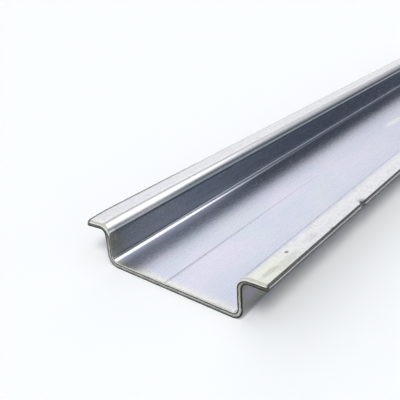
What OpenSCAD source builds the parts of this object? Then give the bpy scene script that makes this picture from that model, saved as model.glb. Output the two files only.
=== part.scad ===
// Top-hat mounting rail, 35 x 7.5 mm, roll-formed from zinc-plated steel strip.
// The strip is followed from the middle of the base outwards: base, bend up, web,
// bend out, flange, slit edge. The other half is its mirror image. Origin: the
// middle of the underside. X runs along the rail, Z points up.

/* [Rail] */
// Length of the piece
rail_l = 200; // [50:1:2000]
// Overall width, over both flanges
rail_w = 35; // [33:0.5:45]
// Overall height, from the underside of the base to the top of the flanges
rail_h = 7.5; // [5.5:0.5:15]
// Outside width of the channel, over both webs
channel_w = 27; // [12:0.5:28]

/* [Strip] */
// Thickness of the steel strip
strip_t = 1; // [0.8:0.1:1.5]
// Inside radius of the four bends
bend_r = 1; // [0.3:0.1:1.2]
// Rounding that the slitting knives leave on the long edges
slit_r = 0.15; // [0.05:0.05:0.3]

/* [Hidden] */
$fn = 64;
outer_r = bend_r + strip_t;
base_half = channel_w / 2 - outer_r;
web_flat = rail_h - 2 * outer_r;
flange_flat = (rail_w - channel_w) / 2 - bend_r - slit_r;

// Flat run of strip along +X, with its underside on the X axis; what follows
// it starts at its far end
module flat_run(length) {
    square([length, strip_t]);
    translate([length, 0]) children();
}

// Quarter ring of strip about the origin, from 6 o'clock round to 3 o'clock
module quarter_ring() {
    intersection() {
        difference() {
            circle(r = outer_r);
            circle(r = bend_r);
        }
        translate([0, -outer_r]) square(outer_r);
    }
}

// Right-angle bend towards the upper face of the strip
module bend_up() {
    translate([0, outer_r]) quarter_ring();
    translate([outer_r, outer_r]) rotate(90) children();
}

// Right-angle bend towards the underside of the strip
module bend_down() {
    translate([0, strip_t]) mirror([0, 1]) translate([0, outer_r]) quarter_ring();
    translate([outer_r, strip_t - outer_r]) rotate(-90) translate([0, -strip_t]) children();
}

// Long edge of the strip, both of its corners rounded
module slit_edge() {
    translate([0, slit_r]) square([slit_r, strip_t - 2 * slit_r]);
    for (y = [slit_r, strip_t - slit_r]) translate([0, y]) circle(r = slit_r);
}

// One half of the section, from the middle of the base to the flange's edge
module half_section() {
    flat_run(base_half) bend_up() flat_run(web_flat) bend_down() flat_run(flange_flat) slit_edge();
}

// Whole top-hat section
module section() {
    half_section();
    mirror([1, 0]) half_section();
}

module rail() {
    color("lightsteelblue") rotate([90, 0, 90]) linear_extrude(height = rail_l, center = true) section();
}

rail();
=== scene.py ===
import math

import bpy
import numpy as np
from mathutils import Matrix, Vector


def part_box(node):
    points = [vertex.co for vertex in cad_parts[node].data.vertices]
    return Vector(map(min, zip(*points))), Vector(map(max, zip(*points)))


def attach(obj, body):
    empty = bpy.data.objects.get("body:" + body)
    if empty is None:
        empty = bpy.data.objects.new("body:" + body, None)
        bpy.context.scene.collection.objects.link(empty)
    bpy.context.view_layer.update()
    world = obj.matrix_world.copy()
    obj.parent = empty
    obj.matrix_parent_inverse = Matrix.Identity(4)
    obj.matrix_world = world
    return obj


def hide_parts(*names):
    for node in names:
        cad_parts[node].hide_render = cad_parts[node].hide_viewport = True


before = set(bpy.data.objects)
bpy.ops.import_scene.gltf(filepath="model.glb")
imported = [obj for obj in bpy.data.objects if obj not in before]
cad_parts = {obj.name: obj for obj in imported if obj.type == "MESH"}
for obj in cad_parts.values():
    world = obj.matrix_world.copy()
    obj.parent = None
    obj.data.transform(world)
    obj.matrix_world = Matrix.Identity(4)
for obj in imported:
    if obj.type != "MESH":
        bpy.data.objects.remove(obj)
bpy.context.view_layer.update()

mm = 0.001

# ---------------------------------------------------------------- camera
# A 50 mm lens, hand height above the table, close to the near end and to the
# right of the rail, looking along it and across it.
rail_low, rail_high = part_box("rail")


def aim_camera(eye, aim, roll, lens):
    """Puts the camera at eye, looking at aim, turned by roll about its own line of sight."""
    data = bpy.data.cameras.new("camera")
    data.lens = lens
    data.sensor_width = 36
    data.clip_start, data.clip_end = 0.005, 20
    camera = bpy.data.objects.new("camera", data)
    bpy.context.scene.collection.objects.link(camera)
    facing = (aim - eye).to_track_quat("-Z", "Y").to_matrix()
    camera.matrix_world = Matrix.Translation(eye) @ (facing @ Matrix.Rotation(roll, 3, "Z")).to_4x4()
    bpy.context.scene.camera = camera


near_end = Vector((rail_low.x, 0, 0))
eye = near_end + Vector((-50.4, -50.0, 48.65)) * mm
aim = near_end + Vector((27.4, 16.2, 0)) * mm
aim_camera(eye, aim, roll=math.radians(-3.79), lens=50.3)

# ---------------------------------------------------------------- rail, shape
# The whole object: one strip of 1 mm steel, slit from zinc-plated coil, roll-formed
# into a top-hat section and sheared to length from above. Each blade rolls the
# upper edge over, bends the flanges' corners down and leaves a torn lower half.
strip_t, bend_r, slit_r = 1.0 * mm, 1.0 * mm, 0.15 * mm
channel_w = 27 * mm
rail_l, rail_w, rail_h = rail_high - rail_low
outer_r = bend_r + strip_t
roll_mark = 1.03 * mm        # where a seam in the base rolls has pressed a line
roll_mark_w = 0.22 * mm
nick_from_end = 29 * mm      # a knock on the right flange's edge
nick_reach = 1.1 * mm        # half the knock's length
nick_depth = 0.28 * mm       # how far it goes in, and how far down
nick_drop = 0.16 * mm
corner_r = 0.45 * mm         # wear on the right flange's near corner
droop = 0.3 * mm             # how far the blade bent a flange's corner down
tear_depth = 0.07 * mm       # the torn lower half of a cut, and furrows down its land
furrow_depth = 0.03 * mm
wave_depth = 0.0012 * mm     # waves that rolling leaves
across = 14                  # steps through the thickness on the cut faces


def strip_stations():
    """Distances along half the strip, from the middle of the base to the slit edge, and the
    strip's heading at each: level base, quarter turn up, web, quarter turn back, flange."""
    turn = (bend_r + strip_t / 2) * math.pi / 2
    runs = [channel_w / 2 - outer_r, turn, rail_h - 2 * outer_r, turn, (rail_w - channel_w) / 2 - bend_r]
    steps = [26, 16, 8, 16, 8]
    ends = np.concatenate([[0], np.cumsum(runs)])
    along = [np.linspace(a, b, n + 1) for a, b, n in zip(ends[:-1], ends[1:], steps)]
    slit = ends[-1] - slit_r * (1 - np.cos(np.linspace(0, math.pi / 2, 6)))
    mark = roll_mark + roll_mark_w * np.linspace(-1, 1, 7)
    along = np.unique(np.round(np.concatenate(along + [slit, mark]), 9))
    heading = np.interp(along, ends, np.radians([0, 0, 90, 90, 0, 0]))
    return along, heading


def walk_strip():
    """The middle line of the whole strip and the direction towards its upper face. Each step is a
    chord of its arc: the step's length times sinc of half its turn, along its mean heading."""
    along, heading = strip_stations()
    turned = np.diff(heading)
    chord = np.diff(along) * np.sinc(turned / 2 / math.pi)
    mean = (heading[1:] + heading[:-1]) / 2
    y = np.concatenate([[0], np.cumsum(chord * np.cos(mean))])
    z = np.concatenate([[0], np.cumsum(chord * np.sin(mean))]) + strip_t / 2
    line = np.stack([y, z], 1)
    up = np.stack([-np.sin(heading), np.cos(heading)], 1)
    mirror = np.array([-1, 1])
    return (np.concatenate([-along[:0:-1], along]), np.concatenate([line[:0:-1] * mirror, line]),
            np.concatenate([up[:0:-1] * mirror, up]))


def long_waves(x, s, seed=7):
    """Depth of the faint waves that rolling leaves, in metres: ten products of a sine along the
    rail and one across the strip, each raised so that it never stands above the true face."""
    rng = np.random.default_rng(seed)
    depth = np.zeros(np.broadcast(x, s).shape)
    for _ in range(10):
        length, width = rng.uniform(18, 60) * mm, rng.uniform(5, 25) * mm
        shift = rng.uniform(0, 2 * math.pi, 2)
        size = wave_depth * rng.uniform(0.5, 1)
        depth += size * (1 + np.sin(2 * math.pi * x / length + shift[0])
                         * np.sin(2 * math.pi * s / width + shift[1]))
    return depth


def ragged(along, step, seed):
    """A smooth random curve between 0 and 1 along a length: random heights every step, joined
    by cosine easing."""
    rng = np.random.default_rng(seed)
    place = (along - along.min()) / step
    heights = rng.uniform(0, 1, int(place.max()) + 3)
    low = np.floor(place).astype(int)
    ease = (1 - np.cos(math.pi * (place - low))) / 2
    return heights[low] * (1 - ease) + heights[low + 1] * ease


def rail_stations():
    """Places along the rail: close together where the blade rolled the edge over and at the
    nick in the flange, and wide apart between."""
    rolled, droops = np.linspace(0.1, 0.7, 9), np.linspace(0.9, 5, 12)
    near = np.concatenate([[0, 0.01, 0.03, 0.06], rolled, droops]) * mm
    nick = nick_from_end + np.linspace(-1.4, 1.4, 15) * mm
    middle = np.linspace(5, rail_l / mm - 5, 118) * mm
    clear = np.abs(middle[:, None] - nick[None]).min(1) > 0.8 * mm
    x = np.concatenate([near, middle[1:-1][clear[1:-1]], nick, rail_l - near])
    return np.unique(np.round(x, 9)) - rail_l / 2


def surface_depth(x, s, from_end):
    """How far the upper face lies below its true place: the rolling waves, the line pressed by
    the base rolls (deep near the first end, dying out along the rail as a bell curve), and the
    edge that the blade rolled over, a quarter ellipse that is deepest on the flanges."""
    fade = np.clip(from_end / (3 * mm), 0, 1)
    from_first = x + rail_l / 2
    press = 0.028 * mm * np.exp(-(from_first / (38 * mm))**2) + 0.006 * mm
    groove = press * np.clip(1 - np.abs(s - roll_mark) / roll_mark_w, 0, 1)**0.7
    level = np.interp(np.abs(s), along, np.abs(up[:, 1]))
    outwards = np.clip((np.abs(s) - channel_w / 2) / (4 * mm), 0, 1)
    roll_depth = (0.06 + (0.08 + 0.24 * outwards) * level) * mm * (0.8 + 0.4 * ragged(s, 1.7 * mm, 3))
    roll_reach = 1.3 * roll_depth
    rolled = roll_depth * (1 - np.sqrt(1 - np.clip(1 - from_end / roll_reach, 0, 1)**2))
    return long_waves(x, s) * fade + groove + rolled


def flange_droop(x, s, from_end):
    """How far the blade has bent one flange down at each end, where it landed first: a parabola
    over the last few millimetres, growing from the bend to the slit edge."""
    flange_start = reach - (rail_w - channel_w) / 2 + bend_r
    lever = np.clip((-s * np.sign(x) - flange_start + 1.5 * mm) / (4.5 * mm), 0, 1)
    return droop * lever**1.3 * np.clip(1 - from_end / (5 * mm), 0, 1)**2


def build_rail():
    """Rings of the section's outline, one for each place along X, joined by quads, and a grid
    through the thickness on each sheared end. Each point is the strip's middle line plus its
    share of half the thickness towards the upper face, less the depth lost there. The worn
    corner is a quarter circle in plan, and the knock a rounded dent. Returns points, quads, what
    each quad is (0 plated, 1 slit edge, 2 sheared end), and each point's place on the strip:
    distance along the rail and across the strip in millimetres, and 1 on the upper face to -1
    on the lower."""
    count, last = len(along), len(along) - 1
    through = np.linspace(1, -1, across + 1)[1:-1]
    station = np.concatenate([np.arange(count), np.full(across - 1, last), np.arange(count)[::-1],
                              np.zeros(across - 1, int)])
    share = np.concatenate([np.ones(count), through, -np.ones(count), -through])
    x = rail_stations()
    from_end = (rail_l / 2 - np.abs(x))[:, None]
    s = along[station][None, :]

    to_slit = reach - np.abs(s)
    slit_curve = slit_r - np.sqrt(np.maximum(slit_r**2 - np.maximum(slit_r - to_slit, 0)**2, 0))
    lower_edge = 0.04 * mm * np.clip(1 - from_end / (0.06 * mm), 0, 1)**2
    half = strip_t / 2 - slit_curve
    depth = surface_depth(x[:, None], s, from_end)
    height = np.where(share > 0, share * (half - depth), share * (half - lower_edge))
    place = line[station][None] + up[station][None] * height[..., None]
    place[..., 1] -= flange_droop(x[:, None], s, from_end)
    knock = np.clip(1 - ((x[:, None] + rail_l / 2 - nick_from_end) / nick_reach)**2, 0, 1)**1.5
    knock = knock * np.clip(1 - to_slit / (0.9 * mm), 0, 1) * (s < 0)
    corner = corner_r - np.sqrt(corner_r**2 - np.clip(corner_r - to_slit, 0, corner_r)**2)
    corner = corner * np.clip(1 - from_end / (3 * corner_r), 0, 1) * (s < 0) * (x[:, None] < 0)
    place[..., 0] += nick_depth * knock
    place[..., 1] -= nick_drop * knock * np.clip(share[None], 0, 1)
    rings = np.concatenate([(x[:, None] + corner)[..., None], place], 2)
    on_strip = np.stack(np.broadcast_arrays(x[:, None] / mm, s / mm, share[None]), -1)

    ring_count, ring_size = len(x), len(station)
    number = np.arange(ring_count * ring_size).reshape(ring_count, ring_size)
    after = np.roll(number, -1, 1)
    sides = np.stack([number[:-1], after[:-1], after[1:], number[1:]], -1).reshape(-1, 4)
    column = np.arange(ring_size)
    is_slit = ((column >= last) & (column < last + across)) | (column >= 2 * count + across - 2)
    kind = [np.broadcast_to(is_slit.astype(int), (ring_count - 1, ring_size)).reshape(-1)]
    points, faces, places = [rings.reshape(-1, 3)], [sides], [on_strip.reshape(-1, 3)]

    first_free = number.size
    weight = ((1 - through) / 2)[None, :, None]
    torn = np.clip((weight[..., 0] - 0.42) / 0.12, 0, 1) * (0.3 + ragged(along, 0.5 * mm, 11)[1:-1, None])
    furrow = 0.25 * ragged(along, 0.3 * mm, 12)[1:-1, None] * np.sin(math.pi * weight[..., 0])
    for end, ring in ((-1, 0), (1, ring_count - 1)):
        grid = np.zeros((count, across + 1), int)
        grid[:, 0] = number[ring, :count]
        grid[:, -1] = number[ring, count + across - 1:2 * count + across - 1][::-1]
        grid[last, 1:-1] = number[ring, count:count + across - 1]
        grid[0, 1:-1] = number[ring, 2 * count + across - 1:][::-1]
        inner = np.arange((count - 2) * (across - 1)).reshape(count - 2, across - 1) + first_free
        grid[1:-1, 1:-1] = inner
        first_free += inner.size
        top = rings[ring, grid[1:-1, 0] - number[ring, 0]]
        bottom = rings[ring, grid[1:-1, -1] - number[ring, 0]]
        spot = top[:, None] * (1 - weight) + bottom[:, None] * weight
        tear = tear_depth * torn * np.sin(math.pi * np.clip(weight[..., 0], 0.3, 1))
        spot[..., 0] -= end * (tear + furrow_depth * furrow)
        points.append(spot.reshape(-1, 3))
        spread = np.broadcast_arrays(spot[..., 0] / mm, along[1:-1, None] / mm, through[None])
        places.append(np.stack(spread, -1).reshape(-1, 3))
        quads = np.stack([grid[:-1, :-1], grid[:-1, 1:], grid[1:, 1:], grid[1:, :-1]], -1)
        quads = quads.reshape(-1, 4)
        faces.append(quads if end > 0 else quads[:, ::-1])
        kind.append(np.full(len(quads), 2))
    return (np.concatenate(points), np.concatenate(faces), np.concatenate(kind), np.concatenate(places))


def make_mesh(name, points, faces):
    """A smooth-shaded mesh object of quads, sharp where two faces meet at more than 40 degrees."""
    mesh = bpy.data.meshes.new(name)
    mesh.vertices.add(len(points))
    mesh.vertices.foreach_set("co", points.astype(np.float32).ravel())
    mesh.loops.add(faces.size)
    mesh.loops.foreach_set("vertex_index", faces.astype(np.int32).ravel())
    mesh.polygons.add(len(faces))
    mesh.polygons.foreach_set("loop_start", np.arange(0, faces.size, 4, dtype=np.int32))
    mesh.update(calc_edges=True)
    mesh.validate()
    mesh.shade_smooth()
    mesh.set_sharp_from_angle(angle=math.radians(40))
    piece = bpy.data.objects.new(name, mesh)
    bpy.context.scene.collection.objects.link(piece)
    return piece


along, line, up = walk_strip()
reach = along[-1]
rail_points, rail_faces, rail_kinds, rail_places = build_rail()
rail = make_mesh("formed_rail", rail_points, rail_faces)
rail.data.polygons.foreach_set("material_index", rail_kinds.astype(np.int32))
strip_place = rail.data.attributes.new("strip_place", "FLOAT_VECTOR", "POINT")
strip_place.data.foreach_set("vector", rail_places.astype(np.float32).ravel())
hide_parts("rail")
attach(rail, "root")

# ---------------------------------------------------------------- rail, finish
# Bright zinc with a thin bluish conversion film, with painted shade on the webs, the lower
# bends and the outer faces, and painted highlight on the right flange and the left bend. The slit
# edges and the sheared ends are bare steel with zinc dragged over them.


def add_node(tree, kind, inputs, **settings):
    """A new node: settings are its own options, and inputs are values or sockets to link from."""
    node = tree.nodes.new(kind)
    for name, value in settings.items():
        setattr(node, name, value)
    for name, value in inputs.items():
        if isinstance(value, bpy.types.NodeSocket):
            tree.links.new(value, node.inputs[name])
        else:
            node.inputs[name].default_value = value
    return node


def ramp(tree, value, start, end, low=0.0, high=1.0):
    """Eases from low to high as value goes from start to end."""
    return add_node(tree, "ShaderNodeMapRange", {"Value": value, "From Min": start, "From Max": end,
                    "To Min": low, "To Max": high}, interpolation_type="SMOOTHSTEP").outputs["Result"]


def math_node(tree, operation, first, second=0.0):
    """One Math node of two terms."""
    return add_node(tree, "ShaderNodeMath", {0: first, 1: second}, operation=operation).outputs[0]


def blend_colour(tree, share, first, second):
    """The first colour, turning into the second as share goes from 0 to 1."""
    return add_node(tree, "ShaderNodeMix", {"Factor": share, "A": first, "B": second},
                    data_type="RGBA").outputs["Result"]


def blend_value(tree, share, first, second):
    """The first number, turning into the second as share goes from 0 to 1."""
    return add_node(tree, "ShaderNodeMix", {"Factor": share, "A": first, "B": second},
                    data_type="FLOAT").outputs["Result"]


def graph(tree, value, *points):
    """Straight lines through points of value and height, in order; heights are from 0 to 1."""
    (start, _), (end, _) = points[0], points[-1]
    share = add_node(tree, "ShaderNodeMapRange", {"Value": value, "From Min": start, "From Max": end})
    node = add_node(tree, "ShaderNodeValToRGB", {"Fac": share.outputs["Result"]})
    stops = node.color_ramp.elements
    while len(stops) < len(points):
        stops.new(0.5)
    for stop, (place, height) in zip(stops, points):
        stop.position = (place - start) / (end - start)
        stop.color = (height, height, height, 1)
    return node.outputs["Color"]


def noise(tree, place, scale, detail=2.0, rough=0.5):
    """Cloudy noise from 0 to 1, averaging a half."""
    return add_node(tree, "ShaderNodeTexNoise", {"Vector": place, "Scale": scale, "Detail": detail,
                    "Roughness": rough}).outputs["Fac"]


def stretched(tree, place, factors):
    """A place on the strip scaled along, across and through it."""
    return add_node(tree, "ShaderNodeVectorMath", {0: place, 1: factors}, operation="MULTIPLY").outputs[0]


def new_group(name, wanted, given):
    """An empty node group with its inputs, as name, kind and value, and its outputs."""
    tree = bpy.data.node_groups.new(name, "ShaderNodeTree")
    for label, kind, value in wanted:
        socket = tree.interface.new_socket(name=label, in_out="INPUT", socket_type=kind)
        if value is not None:
            socket.default_value = value
    for label, kind in given:
        tree.interface.new_socket(name=label, in_out="OUTPUT", socket_type=kind)
    return tree, tree.nodes.new("NodeGroupInput").outputs, tree.nodes.new("NodeGroupOutput").inputs


def use_group(tree, group, inputs):
    """Places a node group in a material and returns its outputs."""
    node = tree.nodes.new("ShaderNodeGroup")
    node.node_tree = group
    for name, value in inputs.items():
        if isinstance(value, bpy.types.NodeSocket):
            tree.links.new(value, node.inputs[name])
        else:
            node.inputs[name].default_value = value
    return node.outputs


VECTOR, FLOAT = "NodeSocketVector", "NodeSocketFloat"

# Rolling grain: hair-fine streaks that run with the strip.
rolling_grain, given, result = new_group(
    "rolling_grain", [("Place", VECTOR, None), ("Length", FLOAT, 8.0)], [("Streak", FLOAT)])
tree = rolling_grain
shorter = math_node(tree, "DIVIDE", 1.0, given["Length"])
shrink = add_node(tree, "ShaderNodeCombineXYZ", {"X": shorter, "Y": 1.0, "Z": 1.0}).outputs[0]
fine = noise(tree, stretched(tree, given["Place"], shrink), 9.0, 3, 0.6)
broad = noise(tree, stretched(tree, given["Place"], shrink), 1.7, 2)
fine, broad = math_node(tree, "MULTIPLY", fine, 0.6), math_node(tree, "MULTIPLY", broad, 0.4)
streak = math_node(tree, "ADD", fine, broad)
tree.links.new(streak, result["Streak"])

# Blot: 1 inside a ragged patch about a centre on the strip, 0 outside it.
blot, given, result = new_group(
    "blot", [("Place", VECTOR, None), ("Centre", VECTOR, (0, 0, 0)), ("Reach", VECTOR, (1, 1, 1)),
             ("Ragged", FLOAT, 0.5), ("Grain", FLOAT, 1.0)], [("Mask", FLOAT)])
tree = blot
away = add_node(tree, "ShaderNodeVectorMath", {0: given["Place"], 1: given["Centre"]},
                operation="SUBTRACT").outputs[0]
away = add_node(tree, "ShaderNodeVectorMath", {0: away, 1: given["Reach"]}, operation="DIVIDE").outputs[0]
distance = add_node(tree, "ShaderNodeVectorMath", {0: away}, operation="LENGTH").outputs["Value"]
cloud = math_node(tree, "SUBTRACT", noise(tree, given["Place"], given["Grain"], 4, 0.6), 0.5)
edge = math_node(tree, "ADD", distance, math_node(tree, "MULTIPLY", cloud, given["Ragged"]))
tree.links.new(ramp(tree, edge, 0.4, 1.0, 1.0, 0.0), result["Mask"])


def new_material(name):
    """A material with its node tree, its Principled BSDF and the strip's own coordinates."""
    material = bpy.data.materials.new(name)
    material.use_nodes = True
    tree = material.node_tree
    place = add_node(tree, "ShaderNodeAttribute", {}, attribute_name="strip_place").outputs["Vector"]
    return material, tree, tree.nodes["Principled BSDF"], place


def stain(tree, colour, strip, centre, reach, strength, tint, ragged=0.8, grain=1.2):
    """Lays a ragged patch of a tint on the strip: centre and reach are along it, across it and
    through it."""
    mask = use_group(tree, blot, {"Place": strip, "Centre": centre, "Reach": reach, "Ragged": ragged,
                                  "Grain": grain})["Mask"]
    return blend_colour(tree, math_node(tree, "MULTIPLY", mask, strength), colour, tint + (1,))


# Zinc plating: the film's soft blue and green patches first, then painted shade and painted
# highlight across the strip with the lines that the rolls left, what the blade did near the first
# end, and last the marks of handling.
plating, tree, shader, place = new_material("zinc_plating")
shader.inputs["Metallic"].default_value = 1
strip = add_node(tree, "ShaderNodeSeparateXYZ", {"Vector": place}).outputs
across_strip, first_end = strip["Y"], rail_low.x / mm
from_first = math_node(tree, "SUBTRACT", strip["X"], first_end)
from_cut = math_node(tree, "SUBTRACT", -first_end, math_node(tree, "ABSOLUTE", strip["X"]))
from_middle = math_node(tree, "ABSOLUTE", across_strip)
grain = use_group(tree, rolling_grain, {"Place": place, "Length": 10.0})

# Film, then painted shade and painted highlight over it
film = noise(tree, stretched(tree, place, (0.06, 0.16, 1)), 1.0, 2)
green = noise(tree, stretched(tree, place, (0.07, 0.11, 2)), 1.0, 1)
colour = blend_colour(tree, ramp(tree, film, 0.3, 0.7), (0.71, 0.75, 0.88, 1), (0.79, 0.78, 0.91, 1))
colour = blend_colour(tree, ramp(tree, green, 0.5, 0.8), colour, (0.74, 0.80, 0.86, 1))
# Painted shade: the base darker towards the far end
far_base_shade = graph(tree, from_middle, (9, 1), (12, 0))
far_base_shade = math_node(tree, "MULTIPLY", far_base_shade, ramp(tree, from_first, 30, 110))
colour = blend_colour(tree, math_node(tree, "MULTIPLY", far_base_shade, 0.5), colour, (0.60, 0.62, 0.74, 1))
# Painted highlight: the right flange and the left bend paler; painted shade: the left flange a darker grey
# than the right one
colour = blend_colour(tree, ramp(tree, across_strip, -18.8, -19.8), colour, (0.94, 0.94, 0.97, 1))
colour = blend_colour(tree, ramp(tree, across_strip, 17.4, 18.2), colour, (0.94, 0.94, 0.96, 1))
colour = blend_colour(tree, ramp(tree, across_strip, 19.2, 20.2), colour, (0.76, 0.76, 0.80, 1))

# Painted shade on the webs and lower bends, and the lines that the rolls left
# Painted shade on the webs, kept off the upper bends near the first end and darker further along
shade_across = math_node(tree, "ADD", from_middle, ramp(tree, from_first, 6, 24, 0.3, 0.0))
web = graph(tree, shade_across, (12.7, 0), (13.4, 1), (18.05, 1), (18.35, 0.8), (18.7, 0))
web_shade = blend_colour(tree, ramp(tree, from_first, 2, 24), (0.33, 0.35, 0.37, 1), (0.22, 0.25, 0.29, 1))
colour = blend_colour(tree, web, colour, web_shade)
# Painted shade over the lower bends' highlight, growing along the rail from the first end
fillet_shade = graph(tree, from_middle, (11.4, 0), (11.9, 0.7), (12.7, 0))
fillet_shade = math_node(tree, "MULTIPLY", fillet_shade, ramp(tree, from_first, 10, 45))
colour = blend_colour(tree, fillet_shade, colour, (0.20, 0.21, 0.24, 1))
die_line = graph(tree, across_strip, (19.15, 0), (19.33, 0.15), (19.5, 0))
colour = blend_colour(tree, die_line, colour, (0.40, 0.38, 0.46, 1))
mark = roll_mark / mm
seam = graph(tree, across_strip, (mark - 0.2, 0), (mark, 0.4), (mark + 0.2, 0))
seam = math_node(tree, "MULTIPLY", seam, ramp(tree, from_first, 20, 60, 1.0, 0.15))
colour = blend_colour(tree, seam, colour, (0.45, 0.44, 0.50, 1))
streaks = ramp(tree, grain["Streak"], 0.35, 0.75, 0.0, 0.02)
colour = blend_colour(tree, streaks, colour, (0.45, 0.46, 0.50, 1))

# Pale dust at the cuts, mottled flanges, and the warm and olive tints near the first cut
dust = noise(tree, place, 1.6, 4, 0.7)
dusty = ramp(tree, math_node(tree, "ADD", from_cut, math_node(tree, "MULTIPLY", dust, 3.0)), 3.6, 1.4)
colour = blend_colour(tree, math_node(tree, "MULTIPLY", dusty, 0.8), colour, (0.95, 0.94, 0.87, 1))
mottle = ramp(tree, noise(tree, place, 1.1, 5, 0.75), 0.46, 0.68, 0.0, 0.45)
mottle = math_node(tree, "MULTIPLY", mottle, ramp(tree, from_middle, 18.8, 20.0))
colour = blend_colour(tree, mottle, colour, (0.58, 0.58, 0.56, 1))
warm = graph(tree, across_strip, (-22.71, 1), (-19.8, 1), (-19.0, 0))
warm = math_node(tree, "MULTIPLY", warm, ramp(tree, from_first, 13, 1, 0.0, 0.9))
colour = blend_colour(tree, warm, colour, (0.93, 0.95, 0.84, 1))
olive = graph(tree, across_strip, (13.0, 0), (14.0, 1), (17.2, 1), (17.8, 0))
olive = math_node(tree, "MULTIPLY", olive, ramp(tree, from_first, 4.5, 0.5, 0.0, 0.8))
colour = blend_colour(tree, olive, colour, (0.30, 0.30, 0.21, 1))
# Painted shade on the outer faces of the webs and the undersides of the flanges
outside = math_node(tree, "MULTIPLY", math_node(tree, "LESS_THAN", strip["Z"], 0.0),
                    ramp(tree, from_middle, 11.5, 13.5))
colour = blend_colour(tree, outside, colour, (0.24, 0.245, 0.235, 1))

# Marks of handling: specks and smudges on the right flange, its knock, and a rubbed patch
colour = stain(tree, colour, place, (-91.4, -20.32, 1), (0.5, 0.34, 1), 0.8, (0.16, 0.17, 0.14), 0.4)
colour = stain(tree, colour, place, (-97.1, -21.1, 1), (2.6, 0.55, 1), 0.45, (0.50, 0.51, 0.44))
colour = stain(tree, colour, place, (-93.6, -21.6, 1), (4.5, 1.0, 1), 0.30, (0.55, 0.55, 0.50))
colour = stain(tree, colour, place, (-86.0, -21.2, 1), (2.6, 0.7, 1), 0.25, (0.56, 0.50, 0.46))
colour = stain(tree, colour, place, (-81.7, -22.6, 1), (0.7, 0.35, 1), 0.8, (0.12, 0.12, 0.11), 0.4)
colour = stain(tree, colour, place, (-71.0, -22.5, 1), (1.3, 0.5, 1), 0.8, (0.14, 0.14, 0.12), 0.6)
colour = stain(tree, colour, place, (-10.0, 1.0, 1), (7.0, 1.2, 1), 0.55, (0.97, 0.99, 1.0))
# Painted light: the painted shade on the right web's outer face lifted to a paler purple at the first end
colour = stain(tree, colour, place, (-98.2, -16.0, -1), (1.8, 1.6, 1), 0.6, (0.30, 0.26, 0.38))

# Bare steel along the slit corners, wider and darker on the left near the first end
slit_line = reach / mm
bare = ramp(tree, from_middle, slit_line - 0.36, slit_line - 0.14)
left_bare = math_node(tree, "MULTIPLY", ramp(tree, from_middle, slit_line - 0.7, slit_line - 0.3),
                      ramp(tree, from_first, 14, 34, 0.9, 0.2))
bare = blend_value(tree, math_node(tree, "LESS_THAN", across_strip, 0.0), left_bare,
                   math_node(tree, "MULTIPLY", bare, 0.95))
colour = blend_colour(tree, bare, colour, (0.10, 0.10, 0.10, 1))
tree.links.new(colour, shader.inputs["Base Color"])
# Roughness across the strip: bright webs, a satin base and flanges, a dull right bend
rough = graph(tree, across_strip, (-20.0, 0.27), (-19.3, 0.55), (-17.5, 0.55), (-16.5, 0.27), (11.5, 0.27),
              (12.4, 0.20), (13.4, 0.13), (17.9, 0.13), (18.4, 0.30), (19.2, 0.30), (19.8, 0.27))
scuffed = graph(tree, across_strip, (9.8, 0), (11.2, 0.25), (12.2, 0))
scuffed = math_node(tree, "MULTIPLY", scuffed, ramp(tree, from_first, 45, 10))
rough = math_node(tree, "ADD", rough, scuffed)
dull_bend = graph(tree, across_strip, (18.2, 0), (18.6, 0.12), (19.4, 0.12), (19.7, 0))
dull_bend = math_node(tree, "MULTIPLY", dull_bend, ramp(tree, from_first, 25, 80))
rough = math_node(tree, "ADD", rough, dull_bend)
rough = math_node(tree, "ADD", rough, ramp(tree, grain["Streak"], 0.3, 0.7, -0.01, 0.012))
tree.links.new(rough, shader.inputs["Roughness"])
rail.data.materials.append(plating)

# Slit edge: dragged zinc along the middle of the cut, bare dark steel at its corners.
slit, tree, shader, place = new_material("slit_steel")
parts = add_node(tree, "ShaderNodeSeparateXYZ", {"Vector": place}).outputs
grain = use_group(tree, rolling_grain, {"Place": place, "Length": 4.0})
drag = math_node(tree, "ADD", math_node(tree, "ABSOLUTE", parts["Z"]),
                 math_node(tree, "MULTIPLY", math_node(tree, "SUBTRACT", grain["Streak"], 0.5), 0.9))
colour = blend_colour(tree, ramp(tree, drag, 0.15, 0.5), (0.58, 0.58, 0.57, 1), (0.07, 0.07, 0.07, 1))
colour = stain(tree, colour, place, (-71.0, -22.7, 0), (1.2, 0.5, 1.6), 0.9, (0.05, 0.05, 0.05), 0.5)
tree.links.new(colour, shader.inputs["Base Color"])
tree.links.new(ramp(tree, grain["Streak"], 0.3, 0.7, 0.3, 0.5), shader.inputs["Roughness"])
shader.inputs["Metallic"].default_value = 1
rail.data.materials.append(slit)

# Sheared end: a dark broken line under the rolled edge, the land that the blade wiped, the torn
# lower half and painted shade along the lower rim. The flanges' ends are dark all over.
sheared, tree, shader, place = new_material("sheared_steel")
strip = add_node(tree, "ShaderNodeSeparateXYZ", {"Vector": place}).outputs
crumbs = noise(tree, stretched(tree, place, (0, 1, 0.7)), 2.2, 3, 0.65)
wander = math_node(tree, "MULTIPLY", math_node(tree, "SUBTRACT", crumbs, 0.5), 0.9)
level = math_node(tree, "ADD", strip["Z"], wander)
tone = graph(tree, strip["Y"], (-22.7, 0.0), (-19.5, 0.1), (-17.5, 0.6), (-13, 1), (12, 1), (15.5, 0.9),
             (17.2, 0.35), (18.5, 0.1), (22.7, 0.1))
colour = blend_colour(tree, ramp(tree, level, 0.0, -0.3), (0.56, 0.565, 0.53, 1), (0.34, 0.345, 0.33, 1))
colour = blend_colour(tree, tone, (0.14, 0.13, 0.12, 1), colour)
colour = blend_colour(tree, ramp(tree, level, 0.3, 0.55), colour, (0.06, 0.06, 0.05, 1))
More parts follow.
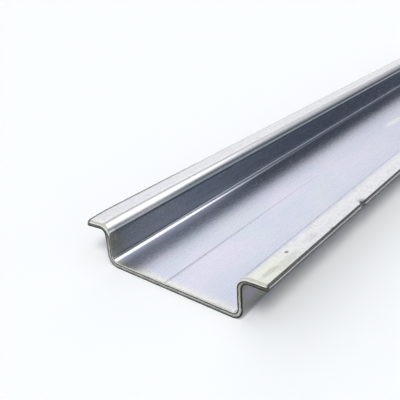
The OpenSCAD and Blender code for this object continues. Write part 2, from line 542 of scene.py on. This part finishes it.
# Painted shade along the lower rim of the cut, wider on the right web and faint on the left web
rim_shade = graph(tree, strip["Y"], (11, 1), (13.5, 0.2), (17, 0.3), (18.5, 1))
web_rim = graph(tree, strip["Y"], (-19, 0), (-17, 0.4), (-14, 0.4), (-12, 0))
rim_shade = math_node(tree, "MULTIPLY", rim_shade,
                      ramp(tree, math_node(tree, "SUBTRACT", level, web_rim), -0.4, -0.75))
colour = blend_colour(tree, rim_shade, colour, (0.04, 0.04, 0.036, 1))
tree.links.new(colour, shader.inputs["Base Color"])
tree.links.new(ramp(tree, level, 0.3, -0.1, 0.35, 0.6), shader.inputs["Roughness"])
shader.inputs["Metallic"].default_value = 1
rail.data.materials.append(sheared)

# ---------------------------------------------------------------- table
# Matt white paper under the rail, which turns up into a low cove far away all round.
table_reach, flat_reach, cove_h = 3.4, 2.6, 0.34
steps = np.linspace(-table_reach, table_reach, 81)
grid_x, grid_y = np.meshgrid(steps, steps, indexing="ij")
rise = cove_h * (np.clip(np.hypot(grid_x, grid_y) - flat_reach, 0, None) / (table_reach - flat_reach))**2
table_points = np.stack([grid_x, grid_y, rise], -1).reshape(-1, 3)
index = np.arange(len(table_points)).reshape(grid_x.shape)
table_faces = np.stack([index[:-1, :-1], index[1:, :-1], index[1:, 1:], index[:-1, 1:]], -1).reshape(-1, 4)
table = make_mesh("table", table_points, table_faces)
paper = bpy.data.materials.new("white_paper")
paper.use_nodes = True
shader = paper.node_tree.nodes["Principled BSDF"]
shader.inputs["Base Color"].default_value = (0.95, 0.97, 0.975, 1)
shader.inputs["Roughness"].default_value = 0.9
shader.inputs["Specular IOR Level"].default_value = 0.1
table.data.materials.append(paper)

# ---------------------------------------------------------------- light
# A grey room with a leaning white screen beyond the left flange, two soft boxes up
# along the rail for the metal to show, a dim corner that gives it its darks, and a
# broad window behind the camera, which leaves the narrow shadow beside the rail.
world = bpy.data.worlds.new("studio")
bpy.context.scene.world = world
world.use_nodes = True
tree = world.node_tree
tree.nodes.clear()
direction = add_node(tree, "ShaderNodeTexCoord", {}).outputs["Generated"]


def facing(axis, start, end):
    """0 for directions whose share along the axis is under start, easing to 1 at end."""
    share = add_node(tree, "ShaderNodeVectorMath", {0: direction, 1: axis}, operation="DOT_PRODUCT")
    return ramp(tree, share.outputs["Value"], start, end)


dim, ceiling, screen = (0.12, 0.135, 0.16, 1), (0.50, 0.50, 0.51, 1), (1.05, 1.05, 1.05, 1)
wedge, behind = (0.22, 0.22, 0.24, 1), (0.62, 0.62, 0.63, 1)
glow = blend_colour(tree, facing((0, 0, 1), 0.62, 0.85), dim, ceiling)
glow = blend_colour(tree, facing((0.087, 0.803, -0.589), -0.1, 0.12), glow, screen)
glow = blend_colour(tree, facing((-0.448, 0.617, -0.646), -0.02, 0.2), glow, wedge)
glow = blend_colour(tree, facing((-1, 0, 0), -0.30, -0.05), glow, behind)
shine = add_node(tree, "ShaderNodeBackground", {"Color": glow})
add_node(tree, "ShaderNodeOutputWorld", {"Surface": shine.outputs["Background"]})


def hang(lamp, azimuth, elevation):
    """Hangs a lamp a metre from the rail and facing it: its place is the unit vector of its
    bearing from +X towards +Y and its height above the table, both in degrees."""
    piece = bpy.data.objects.new(lamp.name, lamp)
    bpy.context.scene.collection.objects.link(piece)
    turn, climb = math.radians(azimuth), math.radians(elevation)
    spot = Vector((math.cos(climb) * math.cos(turn), math.cos(climb) * math.sin(turn), math.sin(climb)))
    piece.matrix_world = Matrix.Translation(spot) @ spot.to_track_quat("Z", "Y").to_matrix().to_4x4()
    return piece


def soft_box(name, width, height, radiance):
    """A rectangular lamp that looks like a sheet of the given radiance: its power is pi times
    the radiance times its area."""
    lamp = bpy.data.lights.new(name, "AREA")
    lamp.shape = "RECTANGLE"
    lamp.size, lamp.size_y = width, height
    lamp.energy = radiance * math.pi * width * height
    return lamp


# The two boxes only show in the metal, and the window only lights
high_box = hang(soft_box("high_box", 0.64, 0.30, 1.8), -13, 54)
side_box = hang(soft_box("side_box", 0.24, 0.34, 0.9), -46, 43)
high_box.visible_diffuse = side_box.visible_diffuse = False
window_light = bpy.data.lights.new("window", "SUN")
window_light.angle = math.radians(22)
window_light.energy = 1.75
window = hang(window_light, -140, 54)
window.visible_glossy = False

bpy.context.scene.view_settings.view_transform = "Standard"
